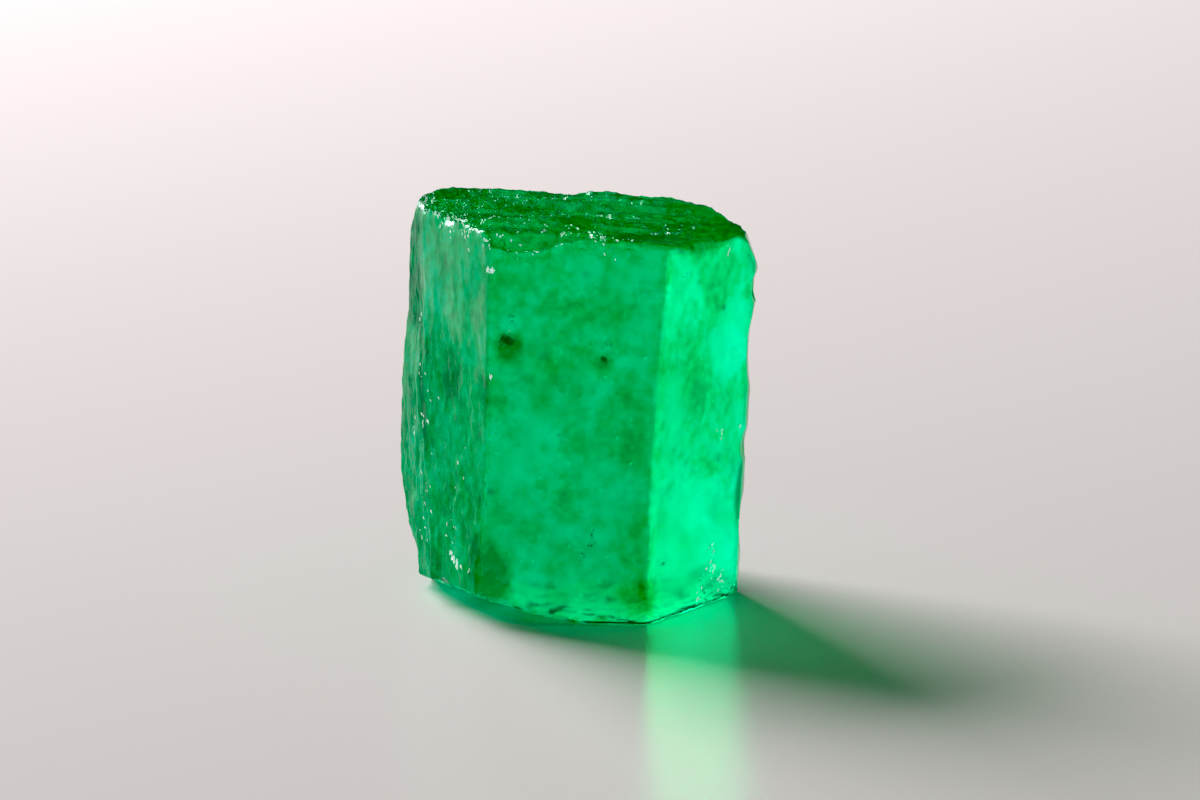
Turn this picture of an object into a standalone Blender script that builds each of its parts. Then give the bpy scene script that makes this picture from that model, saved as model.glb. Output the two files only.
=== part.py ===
"""A raw emerald crystal, as one closed solid.

Beryl grows as a six-sided prism. This crystal snapped off across both ends, so it has a stepped break on
top, a flat broken base that it stands on, and small shell-shaped chips where its corners were knocked.
Metres, +Z up. The broad front face looks along -Y. The origin is the middle of the bottom of its box.
"""

import math

import bmesh
import bpy
from mathutils import Matrix, Vector

MM = 0.001

# Driving dimensions: lengths in metres, angles in degrees.
HEIGHT = 9.93 * MM  # from the resting facet to the middle of the top break
APOTHEM = 3.83 * MM  # from the axis to an even prism face
AXIS_LEAN = 3.2  # the prism's axis leans towards +X
TOP_FALL_RIGHT = 3.5  # the top break falls towards +X
TOP_FALL_BACK = 1.4  # and a little towards +Y
CRUMB = 0.006 * MM  # points of a broken rim closer than this are one point
CHIP_DETAIL = 4  # subdivisions of the ball that scoops a chip
BLOCK = 4.0 * HEIGHT  # the rough block that the faces are cut from

# Prism faces: name, compass direction of the face, its distance from the axis as a share of the apothem,
# and how far it opens outwards going up, in degrees.
PRISM_FACES = (
    ("front", -90.0, 1.050, 0.0),
    ("front_upper", -90.0, 1.065, -2.9),
    ("front_lower", -90.0, 1.070, 3.1),
    ("front_right", -30.0, 1.020, 0.0),
    ("right_corner", -6.0, 1.138, 0.0),
    ("back_right", 30.0, 1.004, 0.0),
    ("back", 90.0, 1.000, 0.0),
    ("back_left", 150.0, 1.274, 0.0),
    ("left_side", 178.0, 1.250, 0.0),
    ("left_shoulder", -162.0, 1.038, 2.7),
    ("front_left", -150.0, 0.998, 0.8),
)

# Flat breaks: name, a point of the break, the direction that it faces.
BREAKS = (
    ("left_foot", Vector((-4.50, 1.5, 2.96)) * MM, Vector((-1.0, 0.10, -0.27))),
    ("base_front", Vector((0.78, -3.83, 0.0)) * MM, Vector((-0.17, -0.21, -1.0))),
    ("base_left", Vector((-2.93, 0.0, 0.0)) * MM, Vector((-0.33, -0.26, -1.0))),
    ("top_right", Vector((4.30, 0.5, 9.58)) * MM, Vector((0.40, 0.10, 1.0))),
    ("top_right_low", Vector((4.60, 0.3, 9.45)) * MM, Vector((1.0, 0.10, 1.0))),
    ("top_right_rim", Vector((4.70, 0.3, 9.14)) * MM, Vector((1.0, 0.10, 0.35))),
    ("top_left_rim", Vector((-4.20, 0.3, 9.30)) * MM, Vector((-1.0, -0.05, 0.28))),
)

# The top break seen along X: how far back each ridge or hollow runs, and how high it is above the slope.
TOP_PROFILE = (
    (-4.5, 0.00), (-3.3, 0.07), (-3.1, -0.03), (-2.1, 0.04), (-1.8, -0.08), (-0.8, 0.03),
    (-0.5, 0.09), (-0.3, -0.05), (0.7, 0.02), (1.0, -0.08), (1.9, -0.02), (2.2, 0.05),
    (3.2, -0.02), (3.4, -0.07), (4.2, -0.04),
)  # fmt: skip

# Chips: name, compass direction and upward angle of the knock, the rim's distance from the axis and its
# height, then how wide and how deep the chip is. Angles are in degrees and lengths in millimetres.
CHIPS = (
    ("right_high", -1.0, 0.0, 4.38, 8.15, 0.80, 0.16),
    ("right_upper", 0.0, 0.0, 4.38, 6.35, 2.20, 0.13),
    ("right_middle", -2.0, 0.0, 4.38, 3.95, 0.90, 0.12),
    ("right_low", 2.0, 0.0, 4.38, 1.75, 1.50, 0.07),
    ("right_foot", -6.0, -20.0, 4.36, 0.15, 0.80, 0.12),
    ("left_edge", -118.0, 0.0, 4.53, 9.10, 0.60, 0.10),
    ("left_edge_low", -119.0, 0.0, 4.46, 1.35, 0.70, 0.12),
    ("right_edge_low", -60.0, -5.0, 4.47, 0.60, 0.60, 0.10),
    ("top_front", -106.0, 55.0, 3.98, 10.02, 2.30, 0.26),
    ("top_front_small", -88.0, 50.0, 3.86, 9.88, 0.60, 0.14),
    ("top_front_right", -72.0, 50.0, 4.05, 9.84, 0.50, 0.12),
    ("top_left", -158.0, 45.0, 3.88, 10.13, 0.80, 0.12),
    ("left_side_low", -147.0, -45.0, 3.82, 0.62, 1.00, 0.14),
    ("back_right_high", 61.0, 12.0, 4.43, 8.70, 1.60, 0.16),
    ("back_right_low", 59.0, -8.0, 4.43, 2.60, 2.10, 0.18),
    ("back_left_high", 130.0, 20.0, 5.02, 9.20, 1.80, 0.22),
    ("back_left_low", 130.0, -6.0, 5.00, 3.20, 2.40, 0.20),
    ("top_back", 98.0, 60.0, 3.86, 9.88, 1.90, 0.18),
    ("base_back", 82.0, -55.0, 3.86, 0.0, 1.60, 0.16),
    ("base_right", 22.0, -50.0, 3.90, 0.0, 1.20, 0.14),
)


def lean_matrix():
    """The turn that leans the axis towards +X."""
    return Matrix.Rotation(math.radians(AXIS_LEAN), 3, "Y")


def compass(bearing):
    """The level unit vector at this compass direction."""
    angle = math.radians(bearing)
    return Vector((math.cos(angle), math.sin(angle), 0.0))


def beside_axis(bearing, distance, height):
    """A point at this height, this far from the leaning axis."""
    foot = Vector((height * math.tan(math.radians(AXIS_LEAN)), 0.0, height))
    return foot + compass(bearing) * distance


def cut_face(bm, point, facing):
    """Take away all that lies beyond a plane, and close the cut with one flat face."""
    everything = bm.verts[:] + bm.edges[:] + bm.faces[:]
    cut = bmesh.ops.bisect_plane(
        bm, geom=everything, dist=1e-7, plane_co=point, plane_no=facing, clear_outer=True
    )
    rim = [item for item in cut["geom_cut"] if isinstance(item, bmesh.types.BMEdge)]
    if rim:
        bmesh.ops.edgeloop_fill(bm, edges=rim)


def cut_prism(bm):
    """Cut the prism faces, which stand along the leaning axis, at half height."""
    lean = lean_matrix()
    for _name, bearing, share, opening in PRISM_FACES:
        level = compass(bearing)
        up = Vector((0.0, 0.0, 1.0))
        facing = lean @ (level - up * math.tan(math.radians(opening)))
        cut_face(bm, beside_axis(bearing, APOTHEM * share, HEIGHT / 2), facing)


def cut_breaks(bm):
    """Cut the flat resting facet and the other flat breaks."""
    cut_face(bm, Vector((0.0, 0.0, 0.0)), Vector((0.0, 0.0, -1.0)))
    for _name, point, facing in BREAKS:
        cut_face(bm, point, facing)


def new_object(name, bm):
    """Put the mesh in a new object in the scene."""
    bmesh.ops.recalc_face_normals(bm, faces=bm.faces[:])
    mesh = bpy.data.meshes.new(name)
    bm.to_mesh(mesh)
    bm.free()
    thing = bpy.data.objects.new(name, mesh)
    bpy.context.scene.collection.objects.link(thing)
    return thing


def crystal_blank():
    """The prism with its flat breaks, still sharp."""
    bm = bmesh.new()
    bmesh.ops.create_cube(bm, size=BLOCK)
    cut_prism(bm)
    cut_breaks(bm)
    return new_object("emerald_crystal", bm)


def as_cutter(cutter):
    """Show a cutter as a guide only."""
    cutter.display_type = "WIRE"
    cutter.hide_render = True
    return cutter


def top_cutter():
    """The shape above the top break: its stepped lower side runs along X and falls with the slope."""
    bm = bmesh.new()
    reach = HEIGHT
    low = [bm.verts.new((-reach, y * MM, z * MM)) for y, z in TOP_PROFILE]
    low.append(bm.verts.new((-reach, TOP_PROFILE[-1][0] * MM, reach)))
    low.append(bm.verts.new((-reach, TOP_PROFILE[0][0] * MM, reach)))
    profile = bm.faces.new(low)
    swept = bmesh.ops.extrude_face_region(bm, geom=[profile])
    moved = [item for item in swept["geom"] if isinstance(item, bmesh.types.BMVert)]
    bmesh.ops.translate(bm, verts=moved, vec=(2 * reach, 0.0, 0.0))
    cutter = new_object("top_cutter", bm)
    fall_right = Matrix.Rotation(math.radians(TOP_FALL_RIGHT), 4, "Y")
    fall_back = Matrix.Rotation(math.radians(-TOP_FALL_BACK), 4, "X")
    cutter.data.transform(Matrix.Translation((0.0, 0.0, HEIGHT)) @ fall_right @ fall_back)
    return as_cutter(cutter)


def chip_cutter(name, bearing, rise, distance, height, width, depth):
    """A ball that scoops one shell-shaped chip of this width and depth out of a rim."""
    radius = (width * width / 4 + depth * depth) / (2 * depth) * MM
    knock = compass(bearing) * math.cos(math.radians(rise))
    knock.z = math.sin(math.radians(rise))
    rim = beside_axis(bearing, distance * MM, height * MM)
    middle = rim + knock * (radius - depth * MM)
    bm = bmesh.new()
    bmesh.ops.create_icosphere(bm, subdivisions=CHIP_DETAIL, radius=radius)
    bmesh.ops.translate(bm, verts=bm.verts[:], vec=middle)
    return as_cutter(new_object("chip_" + name, bm))


def cut_with(crystal, cutter):
    """Take the cutter's shape out of the crystal."""
    boolean = crystal.modifiers.new(cutter.name, "BOOLEAN")
    boolean.operation = "DIFFERENCE"
    boolean.solver = "EXACT"
    boolean.double_threshold = 0.0
    boolean.object = cutter


def clean_rims(crystal):
    """Join the points that the cuts leave crumb-close together."""
    weld = crystal.modifiers.new("clean_rims", "WELD")
    weld.merge_threshold = CRUMB


def middle_of_base(crystal):
    """The middle of the bottom of the finished crystal's box."""
    bpy.context.view_layer.update()
    done = crystal.evaluated_get(bpy.context.evaluated_depsgraph_get())
    corners = [Vector(corner) for corner in done.bound_box]
    middle_x = (min(c.x for c in corners) + max(c.x for c in corners)) / 2
    middle_y = (min(c.y for c in corners) + max(c.y for c in corners)) / 2
    return Vector((middle_x, middle_y, min(c.z for c in corners)))


def emerald():
    """Clear green beryl with a slightly etched skin."""
    material = bpy.data.materials.new("emerald")
    material.use_nodes = True
    shader = material.node_tree.nodes["Principled BSDF"]
    shader.inputs["Base Color"].default_value = (0.01, 0.42, 0.12, 1.0)
    shader.inputs["Roughness"].default_value = 0.15
    shader.inputs["Metallic"].default_value = 0.0
    shader.inputs["IOR"].default_value = 1.58
    shader.inputs["Transmission Weight"].default_value = 0.8
    return material


def clear_scene():
    """Start from an empty scene."""
    for thing in list(bpy.data.objects):
        bpy.data.objects.remove(thing, do_unlink=True)


def build():
    """Make the crystal, and stand it on the middle of its base."""
    clear_scene()
    crystal = crystal_blank()
    cutters = [top_cutter()] + [chip_cutter(*chip) for chip in CHIPS]
    for cutter in cutters:
        cut_with(crystal, cutter)
    clean_rims(crystal)
    crystal.data.materials.append(emerald())
    to_origin = Matrix.Translation(-middle_of_base(crystal))
    for thing in [crystal] + cutters:
        thing.data.transform(to_origin)


build()
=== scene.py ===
# %% [markdown]
# # A raw emerald crystal, step by step
#
# The object is one crystal of green beryl, about a centimetre tall. It is a six-sided prism with a rough
# break on top, etched left faces and smooth, slightly wavy front and right faces. Its colour isn't on its
# skin: white light goes in, the red and some of the blue are soaked up on the way through, and green comes
# out. So the lesson has three parts: the skin (a fine mesh), the glass (one see-through material) and the
# small things in and on it (mineral specks, crushed marks, healed cracks and a garden of tiny dots). Some
# light and shade is painted as well: darker and lighter places in the glass, and glints and glows on the
# small things.

import math
import random

import bpy
import numpy as np
from mathutils import Matrix, Vector, kdtree


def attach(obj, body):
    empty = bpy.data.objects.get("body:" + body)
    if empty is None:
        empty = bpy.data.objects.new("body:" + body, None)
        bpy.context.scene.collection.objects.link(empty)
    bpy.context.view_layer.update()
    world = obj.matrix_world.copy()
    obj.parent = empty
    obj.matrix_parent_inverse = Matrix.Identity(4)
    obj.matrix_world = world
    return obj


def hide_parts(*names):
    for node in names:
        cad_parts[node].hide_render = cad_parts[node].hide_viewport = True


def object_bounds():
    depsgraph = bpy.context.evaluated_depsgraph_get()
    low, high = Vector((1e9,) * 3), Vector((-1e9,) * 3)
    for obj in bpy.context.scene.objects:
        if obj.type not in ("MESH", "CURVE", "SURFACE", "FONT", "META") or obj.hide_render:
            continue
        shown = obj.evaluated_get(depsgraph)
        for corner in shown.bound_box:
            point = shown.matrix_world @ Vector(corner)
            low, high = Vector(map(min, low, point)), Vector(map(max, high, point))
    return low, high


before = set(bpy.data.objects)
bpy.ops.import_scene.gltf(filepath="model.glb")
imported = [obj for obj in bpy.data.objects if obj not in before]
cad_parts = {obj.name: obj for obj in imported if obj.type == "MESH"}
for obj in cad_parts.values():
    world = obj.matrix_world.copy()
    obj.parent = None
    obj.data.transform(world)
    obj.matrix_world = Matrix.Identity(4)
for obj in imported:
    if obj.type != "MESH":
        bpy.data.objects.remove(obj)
cad_low, cad_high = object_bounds()
MM = 0.001
print("solid's box in mm:", [round(side / MM, 2) for side in cad_high - cad_low])


# %% A helper for operators, which act on all that is selected
def select_only(*things):
    """Deselect everything, then select these and make the first of them the active object."""
    bpy.ops.object.select_all(action="DESELECT")
    for thing in things:
        thing.select_set(True)
    bpy.context.view_layer.objects.active = things[0]


# %% [markdown]
# ## The camera
#
# A small crystal is looked at from close by with a long lens, a little from above. A long lens keeps the
# upright edges nearly parallel. The camera could be aimed with a Track To constraint, but working its turn
# out once from an azimuth and an elevation leaves nothing live in the file.

# %% Camera
CAMERA_AZIMUTH = math.radians(4.3)
CAMERA_ELEVATION = math.radians(12.0)
CAMERA_DISTANCE = 173.3 * MM
LENS_MM = 200
AIM = Vector((0.6, 0.0, 5.1)) * MM

level = math.cos(CAMERA_ELEVATION)
backward = Vector((
    math.sin(CAMERA_AZIMUTH) * level,
    -math.cos(CAMERA_AZIMUTH) * level,
    math.sin(CAMERA_ELEVATION),
))
bpy.ops.object.camera_add(location=AIM + backward * CAMERA_DISTANCE)
camera = bpy.context.object
camera.rotation_euler = (-backward).to_track_quat("-Z", "Y").to_euler()
camera.data.lens = LENS_MM
camera.data.clip_start = 1 * MM
camera.data.dof.use_dof = False
bpy.context.scene.camera = camera
print("camera at", [round(value / MM, 1) for value in camera.location], "mm")

# %% [markdown]
# ## The stage
#
# Glass shows its surroundings, so the stage is half of the look. The floor is pale with a faint gloss, and
# the crystal stands mirrored in it. One big soft light stands low behind the crystal on the left: its light
# goes in through the back faces, fills the crystal and comes out of the right face. A weak second light
# hangs overhead. The sky is plain and dim, because at a low angle the broken top mirrors it, and the top of
# a clear crystal looks dark.

# %% Floor
bpy.ops.mesh.primitive_plane_add(size=4.0, location=(0.0, 0.0, 0.0))
floor = bpy.context.object
floor.name = "floor"

floor_paint = bpy.data.materials.new("pale_floor")
floor_paint.use_nodes = True
floor_shader = floor_paint.node_tree.nodes["Principled BSDF"]
floor_shader.inputs["Base Color"].default_value = (0.80, 0.75, 0.79, 1.0)
floor_shader.inputs["Roughness"].default_value = 0.28
floor_shader.inputs["IOR"].default_value = 1.08
floor.data.materials.append(floor_paint)


# %% Lights
def soft_light(name, direction, distance, size, radiance, colour=(1.0, 1.0, 1.0)):
    """A square light that faces the crystal. Its power is worked out from how bright it looks."""
    place = AIM + Vector(direction).normalized() * distance
    bpy.ops.object.light_add(type="AREA", location=place)
    light = bpy.context.object
    light.name = name
    light.rotation_euler = (AIM - place).to_track_quat("-Z", "Y").to_euler()
    light.data.size = size
    light.data.color = colour
    light.data.energy = radiance * math.pi * size * size
    print(f"{name}: {light.data.energy:.2f} W")


soft_light("key", (-0.60, 0.66, 0.46), 0.35, 0.22, 15.0, (1.0, 0.98, 0.95))
soft_light("overhead", (0.1, -0.1, 1.0), 0.45, 0.30, 0.3)

world = bpy.data.worlds.new("soft_sky")
world.use_nodes = True
sky = world.node_tree.nodes["Background"]
sky.inputs["Color"].default_value = (0.62, 0.52, 0.34, 1.0)
sky.inputs["Strength"].default_value = 0.13
bpy.context.scene.world = world

# %% Colour: a plain view, with the blacks of the red and blue set a little lower, as vivid film has them
view = bpy.context.scene.view_settings
view.view_transform = "Standard"
view.use_curve_mapping = True
view.curve_mapping.black_level = (0.06, 0.0, 0.02)
view.curve_mapping.update()

# %% [markdown]
# ## The skin: a fine even mesh
#
# The solid has large flat triangles, and a pattern can't be pressed into those. Subdividing them would give
# long thin triangles along the chips. A voxel remesh gives small even squares everywhere, and a Shrinkwrap
# then lays those squares back on the flat faces, because the remesh leaves faint steps on a sloping face.

# %% Copy of the solid, merged
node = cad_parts["emerald_crystal"]
guide = bpy.data.objects.new("flat_guide", node.data.copy())
bpy.context.scene.collection.objects.link(guide)
select_only(guide)
bpy.ops.object.mode_set(mode="EDIT")
bpy.ops.mesh.select_all(action="SELECT")
bpy.ops.mesh.remove_doubles(threshold=0.001 * MM)
bpy.ops.object.mode_set(mode="OBJECT")
print("merged copy:", len(guide.data.vertices), "points,", len(guide.data.polygons), "faces")


# %% Two helpers for meshes
def read_points(piece):
    """The points of a mesh in millimetres, and the directions that they face."""
    count = len(piece.data.vertices)
    at = np.empty(count * 3)
    facing = np.empty(count * 3)
    piece.data.vertices.foreach_get("co", at)
    piece.data.vertex_normals.foreach_get("vector", facing)
    return at.reshape(-1, 3) / MM, facing.reshape(-1, 3)


def apply_last(piece):
    """Apply the newest modifier, and print how far it moved the points."""
    before, _ = read_points(piece)
    name = piece.modifiers[-1].name
    select_only(piece)
    bpy.ops.object.modifier_apply(modifier=name)
    after, _ = read_points(piece)
    if len(after) == len(before):
        print(f"{name}: moved up to {np.linalg.norm(after - before, axis=1).max():.3f} mm")
    else:
        print(f"{name}: {len(after)} points")


# %% Voxel remesh, then back onto the flat faces
SKIN_GRID = 0.072 * MM

crystal = bpy.data.objects.new("emerald_skin", guide.data.copy())
bpy.context.scene.collection.objects.link(crystal)
remesh = crystal.modifiers.new("even_grid", "REMESH")
remesh.mode = "VOXEL"
remesh.voxel_size = SKIN_GRID
apply_last(crystal)
wrap = crystal.modifiers.new("back_on_the_faces", "SHRINKWRAP")
wrap.target = guide
wrap.wrap_method = "NEAREST_SURFACEPOINT"
apply_last(crystal)
crystal.data.polygons.foreach_set("use_smooth", [True] * len(crystal.data.polygons))

# %% [markdown]
# ## Where the skin is etched, smooth, broken or chipped
#
# Each kind of surface has its own place on the crystal. The etched faces are those that look left. The
# break is what looks up, apart from a smooth plateau at the front right. Chips and wear follow the rims. The
# groups could be painted by hand, but here each is worked out from where a point is, which way it faces and
# how far it is from a sharp rim, so that a changed solid gets them again.


# %% Distance from the sharp rims
def ease(value, start, end):
    """0 before start, 1 after end, and a smooth rise between them."""
    share = np.clip((value - start) / (end - start), 0.0, 1.0)
    return share * share * (3.0 - 2.0 * share)


SHARP = math.radians(22)
RIM_SPACING = 0.04

select_only(guide)
bpy.ops.object.mode_set(mode="EDIT")
bpy.ops.mesh.select_mode(type="EDGE")
bpy.ops.mesh.select_all(action="DESELECT")
bpy.ops.mesh.edges_select_sharp(sharpness=SHARP)
bpy.ops.object.mode_set(mode="OBJECT")
rim_points = []
for edge in guide.data.edges:
    if edge.select:
        start, end = (guide.data.vertices[index].co / MM for index in edge.vertices)
        steps = max(1, round((end - start).length / RIM_SPACING))
        rim_points += [start.lerp(end, step / steps) for step in range(steps + 1)]
rims = kdtree.KDTree(len(rim_points))
for index, point in enumerate(rim_points):
    rims.insert(point, index)
rims.balance()

at, facing = read_points(crystal)
rim_distance = np.array([rims.find(point)[2] for point in at])
print("points along the rims:", len(rim_points), "- farthest from a rim:", round(rim_distance.max(), 2), "mm")


# %% Which part of the skin is which
def facing_like(direction, start=0.80, end=0.93):
    """1 where the skin faces this way, 0 where it faces away from it."""
    return ease(facing @ np.array(Vector(direction).normalized()), start, end)


x, y, z = at.T
left = np.maximum(facing_like((-0.87, -0.5, 0.0)), facing_like((-0.97, -0.2, -0.1)))
top = ease(facing[:, 2], 0.55, 0.85)
bottom = ease(-facing[:, 2], 0.55, 0.85)
back = ease(facing[:, 1], 0.2, 0.5) * (1.0 - top) * (1.0 - bottom)
above_foot = ease(z, 0.02, 0.12)
low_part = 1.0 - ease(z, 3.0, 5.5)
near_rim = 1.0 - ease(rim_distance, 0.05, 0.30)
around_rim = 1.0 - ease(rim_distance, 0.15, 0.60)
right_corner = ease(x, 3.9, 4.2) * (1.0 - ease(z, 8.8, 9.4))
front_right_edge = around_rim * ease(x, 1.4, 1.8) * (1.0 - ease(y, -2.4, -1.0)) * ease(z, 0.2, 0.6)
# The smooth part of the break, the sheen high on the left, and the dark seam between the left faces
plateau = ease(x + 0.2 * y, 0.3, 0.9) * (1.0 - ease(y, -2.0, -1.2))
front_left_edge = left * (1.0 - ease(y, -3.75, -3.55)) * ease(z, 3.8, 5.0)
far_left_top = ease(-x, 3.95, 4.2) * ease(z, 6.6, 7.4)
sheen = np.maximum(left * ease(z - 0.46 * (y + 3.9), 5.4, 6.8), 0.55 * front_left_edge) * (1.0 - far_left_top)
shoulder_line = np.exp(-(((y - 0.29 * z + 2.08) / 0.13) ** 2)) * ease(-x, 3.5, 3.7)
shoulder_line *= ease(z, 3.0, 4.0) * (1.0 - ease(z, 8.6, 9.2))


# %% The same as vertex groups, which the modifiers read
def paint_group(piece, name, weights):
    """Keep these weights in a vertex group."""
    group = piece.vertex_groups.new(name=name)
    for index in np.nonzero(weights > 0.004)[0]:
        group.add([int(index)], float(weights[index]), "REPLACE")
    print(f"group {name}: {int((weights > 0.5).sum())} points")


paint_group(crystal, "worn_rims", near_rim * above_foot * (1.0 - 0.85 * right_corner))
paint_group(crystal, "front_right_edge", front_right_edge)
paint_group(crystal, "left_belly", ease(-x, 3.3, 4.2) * ease(z, 0.8, 2.0) * (1.0 - ease(z, 5.5, 7.5)))
paint_group(crystal, "high_back", ease(z, 9.2, 9.9) * ease(y, 0.0, 2.0) * ease(x, -3.8, -1.5))
paint_group(crystal, "left", left * (1.0 - 0.75 * sheen))
paint_group(crystal, "low_left", left * above_foot * low_part)
paint_group(crystal, "top", top * (1.0 - 0.8 * plateau))
paint_group(crystal, "terraces", top * (1.0 - 0.8 * plateau) * (1.0 - ease(x, 1.8, 3.2)))
paint_group(crystal, "foot", bottom * above_foot)
paint_group(crystal, "back", back)
paint_group(crystal, "high_rims", near_rim * ease(z, 9.0, 9.5) * ease(-x, -2.0, 0.5))
paint_group(crystal, "all_but_the_foot", above_foot)

# %% [markdown]
# ## Worn rims and gentle bulges
#
# A crystal that has rolled about has no knife edges. The Smooth modifier rounds only the points of a group,
# so the flats stay flat. A Bevel would need clean long edges, and the chips interrupt them. Two plain pushes
# then swell the left side and lift the far side of the break.


# %% Wear, and two pushes
def wear_down(piece, group, rounds):
    """Round the points of a group a little, many times over."""
    wear = piece.modifiers.new(group + "_rounded", "SMOOTH")
    wear.factor = 0.5
    wear.iterations = rounds
    wear.vertex_group = group
    apply_last(piece)


def push(piece, name, group, direction, depth):
    """Move the points of a group by a plain amount."""
    displace = piece.modifiers.new(name, "DISPLACE")
    displace.direction = direction
    displace.strength = depth * MM
    displace.mid_level = 0.0
    displace.vertex_group = group
    apply_last(piece)


wear_down(crystal, "worn_rims", 8)
wear_down(crystal, "front_right_edge", 110)
push(crystal, "belly_out", "left_belly", "NORMAL", 0.14)
push(crystal, "back_up", "high_back", "Z", 0.11)

# %% [markdown]
# ## Pressing the patterns in
#
# A growing crystal leaves slow waves and small hillocks, acid eats slanted grooves, and a break leaves
# long steps crossed by short cuts. A Displace modifier pushes each point along its own direction by the
# grey of a texture. The texture is read in the space of an empty, so stretching and turning the empty
# stretches and turns the pattern: that is how a round noise becomes long grooves. Sculpting by hand could
# do it too, but a texture gives the same grooves again each time.


# %% One pattern, pressed in and applied
def press(piece, name, group, across, along, direction, depth, middle=0.5, **settings):
    """Displace the skin by soft noise. It repeats about every across and along, in mm, along a direction."""
    texture = bpy.data.textures.new(name, type="CLOUDS")
    texture.noise_scale = 1.0
    for key, value in settings.items():
        setattr(texture, key, value)
    bpy.ops.object.empty_add(rotation=Vector(direction).to_track_quat("Z", "Y").to_euler())
    space = bpy.context.object
    space.scale = (across * MM, across * MM, along * MM)
    displace = piece.modifiers.new(name, "DISPLACE")
    displace.texture = texture
    displace.texture_coords = "OBJECT"
    displace.texture_coords_object = space
    displace.strength = depth * MM
    displace.mid_level = middle
    displace.vertex_group = group
    apply_last(piece)
    bpy.data.objects.remove(space)
    bpy.data.textures.remove(texture)


# %% The patterns, from the slow ones to the fine ones
UP = (0.0, 0.0, 1.0)
GROOVES = (-0.25, 0.43, 0.87)
STEPS = (1.0, 0.0, -0.06)
CROSS_CUTS = (0.10, -1.0, 0.0)
PITS = {"noise_basis": "VORONOI_F1", "noise_depth": 0}  # round cells instead of clouds

press(crystal, "slow_waves", "all_but_the_foot", 1.7, 2.6, UP, 0.06, noise_depth=1)
press(crystal, "back_hillocks", "back", 0.6, 0.9, UP, 0.07, noise_depth=2)
press(crystal, "low_left_lumps", "low_left", 0.50, 0.60, UP, 0.15, noise_depth=2)
press(crystal, "etch_grooves", "left", 0.20, 0.50, GROOVES, 0.035, noise_depth=1)
press(crystal, "etch_pits", "left", 0.26, 0.60, GROOVES, 0.045, **PITS)
press(crystal, "break_terraces", "terraces", 0.90, 3.2, STEPS, 0.34, noise_depth=1)
press(crystal, "break_steps", "top", 0.30, 2.4, STEPS, 0.15, noise_depth=2)
press(crystal, "break_cross_cuts", "top", 0.18, 0.5, CROSS_CUTS, 0.06, **PITS)
press(crystal, "foot_break", "foot", 0.5, 0.5, UP, 0.10, middle=0.6, noise_depth=3)
press(crystal, "crushed_rims", "high_rims", 0.22, 0.22, UP, 0.10, middle=0.7, noise_depth=2)

# %% [markdown]
# ## Masks for the finish
#
# The glass has to know where the skin is etched, where it is frosted, and where its colour is lighter or
# darker. Part of that is the stone's own uneven tone, and part is painted light and shade: the break, the
# left faces and the top of the far left face are painted darker, the right face is painted lighter low down,
# where the light through the stone comes out, and one small spot is a painted glint. Each of these is a
# number kept at every point of the mesh. A mask could be a painted picture, but a number per point needs no
# picture and moves with the mesh. The lighter and darker places are soft balls with a place, a radius and an
# amount.

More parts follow.
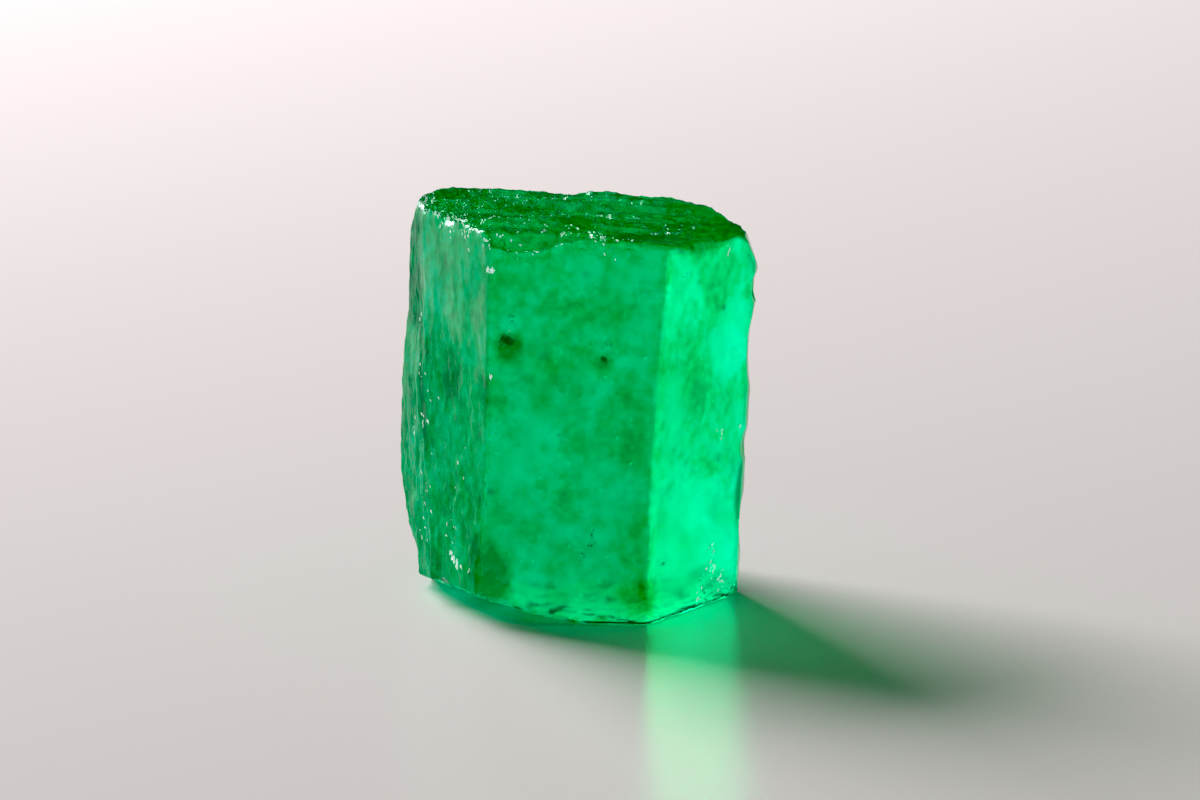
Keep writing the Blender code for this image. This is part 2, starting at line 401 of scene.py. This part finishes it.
# %% Lighter and darker places: the stone's own tone, and painted light and shade
STONE_TONE_AND_PAINTED_LIGHT = (
    # place in mm, radius in mm, how much darker (-) or lighter (+)
    # in the front face: round the specks, with a painted glint just above the largest one, at both lower
    # corners, and soft patches
    ((-1.45, -3.87, 7.30), 0.35, -1.6),
    ((-1.45, -3.87, 7.85), 0.20, 1.2),
    ((-1.90, -3.90, 6.00), 0.45, -0.7),
    ((0.97, -3.90, 6.90), 0.28, -0.9),
    ((-2.15, -3.80, 1.50), 0.58, -2.2),
    ((-1.85, -3.80, 1.05), 0.40, -1.6),
    ((1.90, -3.80, 0.75), 0.50, -0.9),
    ((1.60, -3.90, 4.60), 0.60, -0.4),
    ((1.70, -3.90, 6.00), 0.60, -0.3),
    ((0.10, -3.90, 3.40), 0.55, -0.7),
    ((-0.40, -3.90, 6.20), 0.60, -0.4),
    ((-0.90, -3.80, 0.90), 0.40, 1.3),
    ((0.60, -3.80, 0.50), 0.35, 0.9),
    ((-0.70, -3.80, 8.70), 1.00, -0.3),
    ((3.60, -1.50, 5.20), 1.20, -0.25),
    ((0.60, -3.80, 8.20), 0.50, -0.5),
    ((1.60, -3.80, 9.10), 0.35, 1.0),
    ((-1.20, -3.90, 4.80), 0.80, 0.5),
    # in the right face, painted lighter low down, where the light through the stone comes out, and with pale
    # patches near its edge
    ((3.20, -2.00, 1.60), 1.60, 1.6),
    ((3.60, -1.20, 8.80), 1.30, -0.5),
    ((3.95, -0.90, 7.00), 0.80, 2.2),
    ((3.00, -2.30, 6.20), 0.70, -0.4),
    ((3.40, -1.70, 3.80), 0.60, -0.35),
    ((4.05, -0.90, 9.40), 0.30, 1.5),
    # in the break: painted shade, darkest on the right and in bands along the steps, with two lighter spots
    # below its rim
    ((1.60, -2.40, 9.90), 0.90, -2.8),
    ((2.60, -1.90, 9.90), 0.90, -2.8),
    ((3.30, 0.40, 9.70), 0.90, -1.1),
    ((0.63, -3.75, 9.35), 0.30, 0.9),
    ((2.20, -3.60, 9.30), 0.28, 0.9),
    ((0.20, -2.60, 9.95), 0.50, -1.0),
    ((-0.50, 1.40, 10.1), 0.40, -1.9),
    ((0.40, 1.30, 10.1), 0.40, -1.9),
    ((1.30, 1.20, 10.1), 0.40, -1.9),
    ((-1.80, -0.90, 10.1), 0.45, -0.9),
    ((-0.90, -1.00, 10.1), 0.45, -0.9),
    ((0.00, -1.10, 10.0), 0.45, -0.9),
    ((0.90, -1.20, 10.0), 0.45, -0.9),
    ((-2.50, 1.50, 10.1), 0.50, -0.8),
    ((2.60, 1.80, 10.0), 0.50, -0.8),
    # in the left faces
    ((-3.60, -1.40, 1.00), 0.35, -1.8),
    ((-3.20, -2.00, 6.00), 0.70, -0.8),
    ((-3.50, -1.50, 3.50), 0.60, 0.5),
)

at, facing = read_points(crystal)
# Painted shade: the left faces, the break and the top of the far left face are darkened all over, and the
# seam between the left faces is darkened too
tone_and_painted_light = -0.35 * left - 0.85 * top - 1.2 * far_left_top - 1.3 * shoulder_line
for place, radius, amount in STONE_TONE_AND_PAINTED_LIGHT:
    apart = np.linalg.norm(at - np.array(place), axis=1)
    tone_and_painted_light += amount * (1.0 - ease(apart, 0.2 * radius, 1.6 * radius))


# %% Masks
def keep_mask(piece, name, values):
    """Keep a 0 to 1 value at each point, for the material to read."""
    kept = np.clip(values, 0.0, 1.0)
    mask = piece.data.attributes.new(name, "FLOAT", "POINT")
    mask.data.foreach_set("value", kept)
    print(f"mask {name}: {kept.mean():.2f} on average")


keep_mask(crystal, "tone_and_painted_light", 0.5 + 0.5 * tone_and_painted_light)
keep_mask(crystal, "etched", 0.5 * top * (1.0 - plateau) + 0.3 * left * (1.0 - sheen))
keep_mask(crystal, "frosted", np.maximum(0.6 * bottom, left * (1.0 - 0.5 * sheen)))

# %% [markdown]
# ## Node helpers and the shared patterns
#
# The glass, the specks and the veils all need soft blotches, and the glass and the crushed marks need a fine
# grain. Each of these effects is a node group with named inputs, built once and set differently in each
# material. Copying the same nodes into every material would work, but then a change has to be made in each.


# %% Helpers
def new_material(name):
    """A material with its Principled shader."""
    material = bpy.data.materials.new(name)
    material.use_nodes = True
    return material, material.node_tree, material.node_tree.nodes["Principled BSDF"]


def set_inputs(item, values):
    """Set sockets to plain values, or link them where the value is itself a socket."""
    for key, value in values.items():
        if isinstance(value, bpy.types.NodeSocket):
            item.id_data.links.new(value, item.inputs[key])
        else:
            item.inputs[key].default_value = value
    return item


def add_node(tree, kind, values, **settings):
    """Add a node, change its settings and fill its sockets."""
    item = tree.nodes.new("ShaderNode" + kind)
    for key, value in settings.items():
        setattr(item, key, value)
    return set_inputs(item, values)


def calculate(tree, operation, *values):
    """A Math node's answer."""
    return add_node(tree, "Math", dict(enumerate(values)), operation=operation).outputs[0]


def new_group(name, inputs, output):
    """An empty node group with float sockets, apart from its Vector. Returns it with its two ends."""
    tree = bpy.data.node_groups.new(name, "ShaderNodeTree")
    for label in inputs:
        kind = "NodeSocketVector" if label == "Vector" else "NodeSocketFloat"
        tree.interface.new_socket(label, in_out="INPUT", socket_type=kind)
    tree.interface.new_socket(output, in_out="OUTPUT", socket_type="NodeSocketFloat")
    return tree, tree.nodes.new("NodeGroupInput").outputs, tree.nodes.new("NodeGroupOutput")


# %% Soft blotches: two sizes of noise, mixed
PER_MM = 1.0 / MM

blotch_tree, given, result = new_group("soft_blotches", ("Vector", "Coarse", "Fine"), "Mask")
coarse = add_node(blotch_tree, "TexNoise", {
    "Vector": given["Vector"],
    "Scale": given["Coarse"],
    "Detail": 2.0,
})
fine = add_node(blotch_tree, "TexNoise", {
    "Vector": given["Vector"],
    "Scale": given["Fine"],
    "Detail": 3.0,
    "Roughness": 0.6,
})
halves = {"A": coarse.outputs["Fac"], "B": fine.outputs["Fac"]}
mixed = add_node(blotch_tree, "Mix", halves, data_type="FLOAT")
set_inputs(result, {"Mask": mixed.outputs["Result"]})


def blotches(tree, vector, coarse_per_mm, fine_per_mm):
    """The mask of the soft blotches, set to two sizes."""
    values = {"Vector": vector, "Coarse": coarse_per_mm * PER_MM, "Fine": fine_per_mm * PER_MM}
    return set_inputs(add_node(tree, "Group", {}, node_tree=blotch_tree), values).outputs["Mask"]


# %% Fine grain: the height of a frosted or etched surface
grain_tree, given, result = new_group("fine_grain", ("Vector", "Per metre", "Amount"), "Height")
bumps = add_node(grain_tree, "TexNoise", {
    "Vector": given["Vector"],
    "Scale": given["Per metre"],
    "Detail": 2.0,
})
set_inputs(result, {"Height": calculate(grain_tree, "MULTIPLY", bumps.outputs["Fac"], given["Amount"])})


def grain_normal(tree, vector, per_mm, amount, strength, depth):
    """A normal bumped by the fine grain. Its depth is in mm."""
    etch = add_node(tree, "Group", {}, node_tree=grain_tree)
    set_inputs(etch, {"Vector": vector, "Per metre": per_mm * PER_MM, "Amount": amount})
    values = {"Height": etch.outputs["Height"], "Strength": strength, "Distance": depth * MM}
    return add_node(tree, "Bump", values).outputs["Normal"]


# %% [markdown]
# ## The glass
#
# Beryl bends light by 1.58. It is mostly transmission, with a small share of subsurface scattering for the
# haze of tiny inclusions. The depth of the green comes from absorption through the whole stone, so thin
# corners are pale and long paths are dark; a green paint on the skin couldn't do that. The Base Color only
# adds the soft blotches and the lighter and darker places, and part of those is painted shade and light. The
# left faces are matt in slanted patches, because the etching went deeper in some shingles than in others.

# %% Colour of the blotches, and of the painted light and shade
emerald, tree, shader = new_material("emerald_glass")
coords = add_node(tree, "TexCoord", {}).outputs["Object"]
tone_and_painted_light_mask = add_node(tree, "Attribute", {}, attribute_name="tone_and_painted_light").outputs["Fac"]
tone_and_painted_light_added = calculate(tree, "MULTIPLY_ADD", tone_and_painted_light_mask, 0.5, blotches(tree, coords, 0.8, 3.2))
tint = add_node(tree, "ValToRGB", {"Fac": calculate(tree, "SUBTRACT", tone_and_painted_light_added, 0.25)})
tint.color_ramp.elements[0].position = 0.20
tint.color_ramp.elements[0].color = (0.0, 0.15, 0.004, 1.0)
tint.color_ramp.elements[1].position = 0.62
tint.color_ramp.elements[1].color = (0.0, 0.99, 0.72, 1.0)
tint.color_ramp.elements.new(0.39).color = (0.0, 0.55, 0.12, 1.0)
print("tint stops:", [round(stop.position, 2) for stop in tint.color_ramp.elements])

# %% Roughness: smooth faces, and matt shingles where the skin is frosted
SHINGLE_TURN = (0.46, 0.28, 0.0)

slanted = add_node(tree, "Mapping", {"Vector": coords, "Rotation": SHINGLE_TURN, "Scale": (1.0, 1.0, 0.4)})
matt = add_node(tree, "MapRange", {
    "Value": blotches(tree, slanted.outputs["Vector"], 2.2, 7.0),
    "From Min": 0.46,
    "From Max": 0.54,
    "To Min": 0.39,
    "To Max": 0.75,
}, interpolation_type="SMOOTHSTEP")
frosted_mask = add_node(tree, "Attribute", {}, attribute_name="frosted").outputs["Fac"]
roughness = calculate(tree, "MULTIPLY_ADD", frosted_mask, matt.outputs["Result"], 0.18)

# %% The whole glass
etched_mask = add_node(tree, "Attribute", {}, attribute_name="etched").outputs["Fac"]
set_inputs(shader, {
    "Base Color": tint.outputs["Color"],
    "Roughness": roughness,
    "Normal": grain_normal(tree, coords, 14.0, etched_mask, 1.0, 0.05),
    "IOR": 1.58,
    "Transmission Weight": 0.93,
    "Specular Tint": (0.45, 0.95, 1.0, 1.0),
    "Subsurface Weight": 1.0,
    "Subsurface Radius": (0.2, 1.0, 0.6),
    "Subsurface Scale": 1.5 * MM,
})
absorption = add_node(tree, "VolumeAbsorption", {"Color": (0.03, 0.985, 0.82, 1.0), "Density": 500.0})
tree.links.new(absorption.outputs["Volume"], tree.nodes["Material Output"].inputs["Volume"])

crystal.data.materials.clear()
crystal.data.materials.append(emerald)
print("emerald glass:", len(tree.nodes), "nodes")

# %% [markdown]
# ## Finishes of the small things
#
# Three more materials are enough. A healed crack is a milky sheet full of gaps, so its alpha is blotched. A
# crushed mark is beryl broken so fine that it scatters all light, so it is white. Both also glow a little
# without a lamp, which is painted light. The dark mineral is nearly black green.


# %% Healed crack, with a painted green glow
veil_glow_paint, tree, shader = new_material("healed_crack")
coords = add_node(tree, "TexCoord", {}).outputs["Object"]
milky_mask = add_node(tree, "Attribute", {}, attribute_name="milky").outputs["Fac"]
milk = add_node(tree, "MapRange", {
    "Value": blotches(tree, coords, 1.4, 5.0),
    "From Min": 0.45,
    "From Max": 0.70,
    "To Min": 0.0,
    "To Max": 0.5,
}).outputs["Result"]
set_inputs(shader, {
    "Base Color": (0.80, 0.97, 0.90, 1.0),
    "Roughness": 0.5,
    "Alpha": calculate(tree, "MINIMUM", calculate(tree, "MULTIPLY", milk, milky_mask), 0.95),
    # Painted light: a faint green glow, as if lit from inside, on the cracks and the foot sheet
    "Emission Color": (0.3, 1.0, 0.6, 1.0),
    "Emission Strength": 0.24,
})

# %% Crushed beryl, with a painted white glow
crushed_glow_paint, tree, shader = new_material("crushed_beryl_painted_glow")
coords = add_node(tree, "TexCoord", {}).outputs["Object"]
set_inputs(shader, {
    "Base Color": (0.80, 0.97, 0.90, 1.0),
    "Roughness": 0.30,
    "IOR": 1.58,
    "Normal": grain_normal(tree, coords, 20.0, 1.0, 0.8, 0.03),
    # Painted light: a white glow that makes the flakes, slivers and garden dots bright like glints
    "Emission Color": (0.75, 1.0, 0.92, 1.0),
    "Emission Strength": 0.30,
})

# %% Dark mineral
speck_paint, tree, shader = new_material("dark_mineral")
coords = add_node(tree, "TexCoord", {}).outputs["Object"]
tint = add_node(tree, "ValToRGB", {"Fac": blotches(tree, coords, 5.0, 15.0)})
tint.color_ramp.elements[0].color = (0.01, 0.06, 0.004, 1.0)
tint.color_ramp.elements[1].color = (0.05, 0.20, 0.02, 1.0)
set_inputs(shader, {"Base Color": tint.outputs["Color"], "Roughness": 0.35, "Alpha": 0.55})

# %% [markdown]
# ## Dark mineral specks
#
# A few specks of another mineral were caught in the stone as it grew, each with crumbs round it. A grain is a
# small ball that is stretched and then roughened by moving its points about. A cube would look cut, and a
# ball left alone would look like a bubble.


# %% A grain, and joining many into one piece
def grain_of(place, size, stretch, seed, rough=0.18, detail=2):
    """A small angular grain: a ball, stretched and roughened. Place and size are in mm."""
    bpy.ops.object.select_all(action="DESELECT")
    middle = Vector(place) * MM
    bpy.ops.mesh.primitive_ico_sphere_add(subdivisions=detail, radius=size * MM / 2, location=middle)
    grain = bpy.context.object
    bpy.ops.object.mode_set(mode="EDIT")
    bpy.ops.mesh.select_all(action="SELECT")
    bpy.ops.transform.resize(value=stretch)
    bpy.ops.transform.vertex_random(offset=rough * size * MM, seed=seed)
    bpy.ops.object.mode_set(mode="OBJECT")
    return grain


def join_as(name, parts, paint):
    """Join these meshes into one piece, give it its finish and let it ride with the crystal."""
    select_only(*parts)
    if len(parts) > 1:
        bpy.ops.object.join()
    piece = bpy.context.object
    piece.name = name
    piece.data.name = name
    bpy.ops.object.transform_apply(location=True, rotation=True, scale=True)
    piece.data.materials.clear()
    piece.data.materials.append(paint)
    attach(piece, "root")
    print(f"{name}: {len(parts)} parts, {len(piece.data.polygons)} faces")


# %% The specks
SPECKS = (
    # place in mm, size of the core in mm, crumbs round it, how far they spread in mm
    ((-1.45, -3.55, 7.37), 0.30, 20, 0.12), ((-1.60, -3.55, 7.42), 0.18, 8, 0.10),
    ((-1.36, -3.40, 7.98), 0.05, 5, 0.06), ((0.97, -3.40, 6.91), 0.17, 12, 0.08),
    ((0.66, -3.55, 2.36), 0.07, 4, 0.05), ((0.66, -3.55, 2.08), 0.08, 5, 0.06),
    ((0.46, -3.55, 1.86), 0.05, 5, 0.08), ((1.05, -3.50, 7.30), 0.05, 4, 0.06),
    ((-0.20, -3.50, 4.95), 0.06, 4, 0.06), ((1.90, -2.20, 1.40), 0.12, 8, 0.12),
    ((-0.80, 1.60, 6.20), 0.20, 14, 0.15), ((1.60, 2.60, 3.40), 0.18, 12, 0.14),
    ((-2.20, 0.80, 2.90), 0.18, 12, 0.14), ((2.60, 1.10, 7.60), 0.15, 10, 0.12),
    ((0.20, 3.30, 8.10), 0.14, 10, 0.12),
    ((3.28, -1.62, 0.73), 0.04, 3, 0.03), ((3.32, -1.52, 0.55), 0.04, 3, 0.03),
    ((3.37, -1.42, 0.35), 0.04, 3, 0.03), ((3.42, -1.33, 0.15), 0.04, 3, 0.03),
)

random.seed(7)
specks = []
for place, core, crumbs, spread in SPECKS:
    specks.append(grain_of(place, core, (0.9, 1.0, 0.8), seed=len(specks), rough=0.22))
    for _ in range(crumbs):
        near = [value + random.gauss(0.0, spread) for value in place]
        specks.append(grain_of(near, random.uniform(0.02, 0.06), (0.7, 1.0, 1.2), seed=len(specks), detail=1))
join_as("mineral_specks", specks, speck_paint)

# %% [markdown]
# ## Crushed marks and painted glints
#
# Where the crystal was knocked, tiny flakes have half come off. They are white, because light meets many
# small surfaces in them, and they glow a little, which is painted light. Many are also set where glints
# show, so they are partly painted glints. They are thickest along the rim between the break and the left
# faces. Each flake is a flat grain that is laid in the skin at the nearest place, so none of them floats,
# with its long side the way that the stone splinters. Bump in the glass couldn't show them, because a flake
# stands out from the skin.

# %% Flakes
MARKS_AND_GLINTS = (
    # place in mm, how far the mark spreads, how many flakes, longest flake in mm
    # on the break, along its front rim and high on the front
    ((0.66, -3.33, 10.02), 0.12, 7, 0.14), ((0.07, -2.10, 10.00), 0.10, 4, 0.14),
    ((-0.61, -2.31, 10.03), 0.10, 4, 0.12), ((-1.15, -0.40, 10.09), 0.14, 4, 0.12),
    ((1.16, -3.70, 9.86), 0.16, 7, 0.12), ((1.70, -3.40, 9.92), 0.16, 5, 0.12),
    ((-0.72, -3.70, 9.72), 0.10, 5, 0.14), ((-1.97, -3.75, 9.23), 0.08, 12, 0.15),
    ((-1.93, -3.91, 6.50), 0.05, 4, 0.12), ((4.02, -1.33, 9.40), 0.06, 5, 0.12),
    ((-1.46, -3.85, 7.68), 0.02, 2, 0.06),
    # the chip low on the left
    ((-3.08, -2.32, 1.46), 0.04, 6, 0.15), ((-2.96, -2.50, 1.38), 0.05, 7, 0.18),
    ((-2.86, -2.70, 1.33), 0.05, 7, 0.18), ((-2.72, -2.95, 1.29), 0.05, 5, 0.13),
    ((-2.52, -3.28, 1.29), 0.05, 4, 0.10),
    # the rim between the break and the left faces
    ((-4.12, 0.68, 10.17), 0.15, 6, 0.11), ((-3.86, -0.10, 10.15), 0.15, 7, 0.12),
    ((-3.60, -0.83, 10.13), 0.15, 7, 0.12), ((-3.35, -1.25, 10.06), 0.15, 7, 0.12),
    ((-3.05, -1.75, 10.00), 0.15, 7, 0.12), ((-2.73, -2.34, 9.98), 0.15, 8, 0.13),
    ((-2.49, -2.76, 9.96), 0.15, 8, 0.13), ((-2.06, -3.46, 10.03), 0.15, 9, 0.14),
    ((-1.60, -3.54, 9.86), 0.20, 9, 0.12),
    # scattered on the right face and thicker at its lower corner, as painted glints
    ((3.84, -1.15, 4.55), 0.12, 5, 0.10), ((4.29, -0.37, 4.50), 0.08, 3, 0.10),
    ((3.60, -1.22, 1.45), 0.12, 7, 0.10), ((3.60, -1.22, 1.00), 0.12, 12, 0.12),
    ((3.78, -0.90, 0.60), 0.10, 9, 0.12), ((3.84, -0.77, 0.40), 0.10, 7, 0.11),
    ((3.30, -1.70, 0.26), 0.09, 9, 0.11),
    # scattered on the left faces, as painted glints
    ((-4.00, 0.20, 4.30), 0.12, 5, 0.12), ((-3.84, -0.75, 4.60), 0.16, 6, 0.12),
    ((-3.90, -0.50, 5.90), 0.14, 4, 0.11), ((-4.02, -0.10, 7.20), 0.14, 4, 0.11),
    ((-3.40, -1.40, 5.70), 0.30, 4, 0.11), ((-3.60, -1.00, 3.10), 0.40, 6, 0.12),
    ((-2.90, -2.50, 3.60), 0.50, 5, 0.11), ((-3.00, -2.30, 2.30), 0.40, 5, 0.11),
    ((-3.70, -0.80, 2.00), 0.40, 7, 0.12), ((-3.30, -1.60, 0.50), 0.30, 4, 0.10),
)
SPLINTER = Vector((0.30, -0.52, -0.80))  # the way that the stone splinters


def flake_on_skin(middle, spread, size, seed):
    """A flat angular flake, lying in the skin near this place. Its long side follows the splintering."""
    aim = Vector([value + random.gauss(0.0, spread) for value in middle]) * MM
    _, spot, out, _ = crystal.closest_point_on_mesh(aim)
    flake = grain_of(spot / MM, size, (1.0, random.uniform(0.25, 0.5), 0.25), seed, rough=0.22)
    long_side = (SPLINTER - out * SPLINTER.dot(out)).normalized()
    lying = Matrix((long_side, out.cross(long_side), out)).transposed().to_quaternion()
    spin = Matrix.Rotation(random.gauss(0.0, 0.35), 3, "Z").to_quaternion()
    flake.rotation_euler = (lying @ spin).to_euler()
    return flake


random.seed(17)
flakes = []
for middle, spread, count, largest in MARKS_AND_GLINTS:
    for _ in range(count):
        size = random.uniform(0.3, 1.0) * largest
        flakes.append(flake_on_skin(middle, spread, size, seed=100 + len(flakes)))
join_as("crushed_marks_and_painted_glints", flakes, crushed_glow_paint)

# %% [markdown]
# ## Painted glints on the break: bright slivers
#
# Thin bright slivers on the steps of the break are painted glints: they stand for the light that the step
# edges catch, they glow with the crushed beryl's painted glow, and they lean to the left. There are more of
# them on the left and along the far edge. More than two hundred are wanted, so one small ball is made once,
# and copies of it are stretched, leaned and sunk more than half way, so that the break doesn't look hairy.


# %% A helper: copies of one small ball
def small_copy(source, place, radii, turn):
    """A copy of the source at this place (in metres), with three radii in mm and a turn."""
    one = bpy.data.objects.new(source.name, source.data.copy())
    bpy.context.scene.collection.objects.link(one)
    one.location = place
    one.scale = [radius * MM for radius in radii]
    one.rotation_euler = turn
    return one


bpy.ops.object.select_all(action="DESELECT")
bpy.ops.mesh.primitive_ico_sphere_add(subdivisions=1, radius=1.0)
small_ball = bpy.context.object
small_ball.name = "small_ball"

# %% Slivers, the painted glints
SLIVER_COUNT = 230
SUNK = 0.6  # how far its middle is under the skin, as a share of its half length

random.seed(41)
slivers = []
while len(slivers) < SLIVER_COUNT:
    over = Vector((random.uniform(-4.3, 3.6), random.uniform(-2.6, 3.8), 10.2))
    on_the_left = 1.0 - min(1.0, max(0.0, (over.x + 1.0) / 3.0))
    at_the_back = min(1.0, max(0.0, (over.y - 1.8) / 1.5))
    if random.random() > max(on_the_left, at_the_back) - 0.25:
        continue
    _, spot, out, _ = crystal.closest_point_on_mesh(over * MM)
    if out.z < 0.5:
        continue
    lean = (random.uniform(-0.4, 0.4), random.uniform(-0.75, -0.35), 0.0)
    half_length = random.uniform(0.05, 0.15)
    spot.z -= SUNK * half_length * MM
    slivers.append(small_copy(small_ball, spot, (0.012, 0.010, half_length), lean))
join_as("painted_glint_slivers", slivers, crushed_glow_paint)

# %% [markdown]
# ## Healed cracks
#
# Old cracks in emerald healed while it grew, and left milky, slightly wavy sheets inside. Each is a grid that
# the same soft noise as on the skin bends, and that a Solidify modifier then thickens, so that it has a front
# and a back. A flat plane would look like a pane of glass. A number at each point fades the sheet out to its
# edge.


# %% A sheet
SHEET_THICKNESS = 0.015 * MM
GRID = {"x_subdivisions": 24, "y_subdivisions": 24}
FADE_FROM, FADE_TO = 0.2, 0.5  # from the middle of a sheet, as a share of its width


def veil(place, facing_way, width, height, bend):
    """A thin wavy sheet. All lengths are in mm."""
    bpy.ops.object.select_all(action="DESELECT")
    turn = Vector(facing_way).to_track_quat("Z", "Y").to_euler()
    middle = Vector(place) * MM
    bpy.ops.mesh.primitive_grid_add(**GRID, size=MM, location=middle, rotation=turn)
    sheet = bpy.context.object
    from_middle = np.linalg.norm(read_points(sheet)[0], axis=1)
    sheet.scale = (width, height, 1.0)
    bpy.ops.object.transform_apply(location=True, rotation=True, scale=True)
    milky = sheet.data.attributes.new("milky", "FLOAT", "POINT")
    milky.data.foreach_set("value", 1.0 - ease(from_middle, FADE_FROM, FADE_TO))
    press(sheet, "veil_waves", "", 0.4 * width, 0.4 * height, facing_way, bend, noise_depth=1)
    thick = sheet.modifiers.new("thin", "SOLIDIFY")
    thick.thickness = SHEET_THICKNESS
    apply_last(sheet)
    return sheet


# %% The healed cracks
VEILS = (
    # place, facing, width, height, bend
    ((-0.5, -2.4, 7.2), (0.2, -1.0, 0.3), 4.0, 3.0, 0.8),
    ((0.4, 0.4, 3.8), (-0.2, -1.0, 0.4), 5.0, 4.0, 1.0),
    ((-2.0, -0.6, 5.5), (-0.8, -0.5, 0.3), 2.6, 4.0, 0.6),
    ((0.2, 2.4, 6.0), (0.1, 1.0, 0.3), 4.5, 4.5, 0.8),
)
# The cracks carry the painted green glow of their material
join_as("healed_cracks", [veil(*row) for row in VEILS], veil_glow_paint)

# %% [markdown]
# ## The milky break at the foot
#
# The crystal broke off its bed, and the break at the foot is full of fine cracks. Without them the foot would
# mirror the dark sky behind the crystal, as a dark band. The sheet has no gaps and takes the healed cracks'
# glow, so it also fills the foot with painted light. The sheet is made from the solid's own faces that look
# down, drawn in and lifted a little, so that it follows the foot; a plain disc would stick out of it.

# %% Foot sheet
LOOKS_DOWN = -0.7  # a face of the foot has its normal's z below this
FOOT_HEIGHT = 2 * MM
DRAWN_IN = 0.95
LIFTED = 0.09 * MM
NO_GAPS = 12.0  # far above 1, so that the blotches leave no gaps

foot = bpy.data.objects.new("foot_sheet", guide.data.copy())
bpy.context.scene.collection.objects.link(foot)
select_only(foot)
bpy.ops.object.mode_set(mode="EDIT")
bpy.ops.mesh.select_mode(type="FACE")
bpy.ops.object.mode_set(mode="OBJECT")
for face in foot.data.polygons:
    face.select = face.normal.z > LOOKS_DOWN or face.center.z > FOOT_HEIGHT
bpy.ops.object.mode_set(mode="EDIT")
bpy.ops.mesh.delete(type="FACE")
bpy.ops.mesh.select_all(action="SELECT")
bpy.ops.mesh.subdivide(number_cuts=3)
bpy.ops.transform.resize(value=(DRAWN_IN, DRAWN_IN, 1.0))
bpy.ops.transform.translate(value=(0.0, 0.0, LIFTED))
bpy.ops.object.mode_set(mode="OBJECT")
milky = foot.data.attributes.new("milky", "FLOAT", "POINT")
milky.data.foreach_set("value", np.full(len(foot.data.vertices), NO_GAPS))
thick = foot.modifiers.new("thin", "SOLIDIFY")
thick.thickness = SHEET_THICKNESS
thick.offset = 1.0
apply_last(foot)
join_as("glowing_foot_break_sheet", [foot], veil_glow_paint)

# %% [markdown]
# ## The garden
#
# The fine haze of an emerald is called its garden: hundreds of tiny flat crystals and bubbles. They are
# scattered just under the skin, where they show, and thin out deeper in. A volume scatter would give an even
# fog and take far longer to render.

# %% Garden
DOT_COUNT = 320
SHALLOWEST, DEEPEST = 0.15, 2.2  # in mm under the skin

random.seed(23)
dots = []
tries = 0
while len(dots) < DOT_COUNT:
    tries += 1
    spot = Vector([random.uniform(low, high) for low, high in zip(cad_low, cad_high)])
    _, near, out, _ = crystal.closest_point_on_mesh(spot)
    depth = (near - spot).dot(out) / MM
    if not SHALLOWEST < depth < DEEPEST or random.random() < 0.25 * depth:
        continue
    radius = random.uniform(0.012, 0.035)
    radii = [radius * random.uniform(0.6, 1.6) for _ in range(3)]
    dots.append(small_copy(small_ball, spot, radii, [random.uniform(0.0, math.pi) for _ in range(3)]))
print("tries for the garden:", tries)
# The dots share the crushed beryl's painted white glow
join_as("fine_garden", dots, crushed_glow_paint)

# %% [markdown]
# ## Finish
#
# The helpers go, and the fine skin takes the solid's place.

# %% The skin takes the solid's place
bpy.data.objects.remove(small_ball)
bpy.data.objects.remove(guide)
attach(crystal, "root")
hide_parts("emerald_crystal")
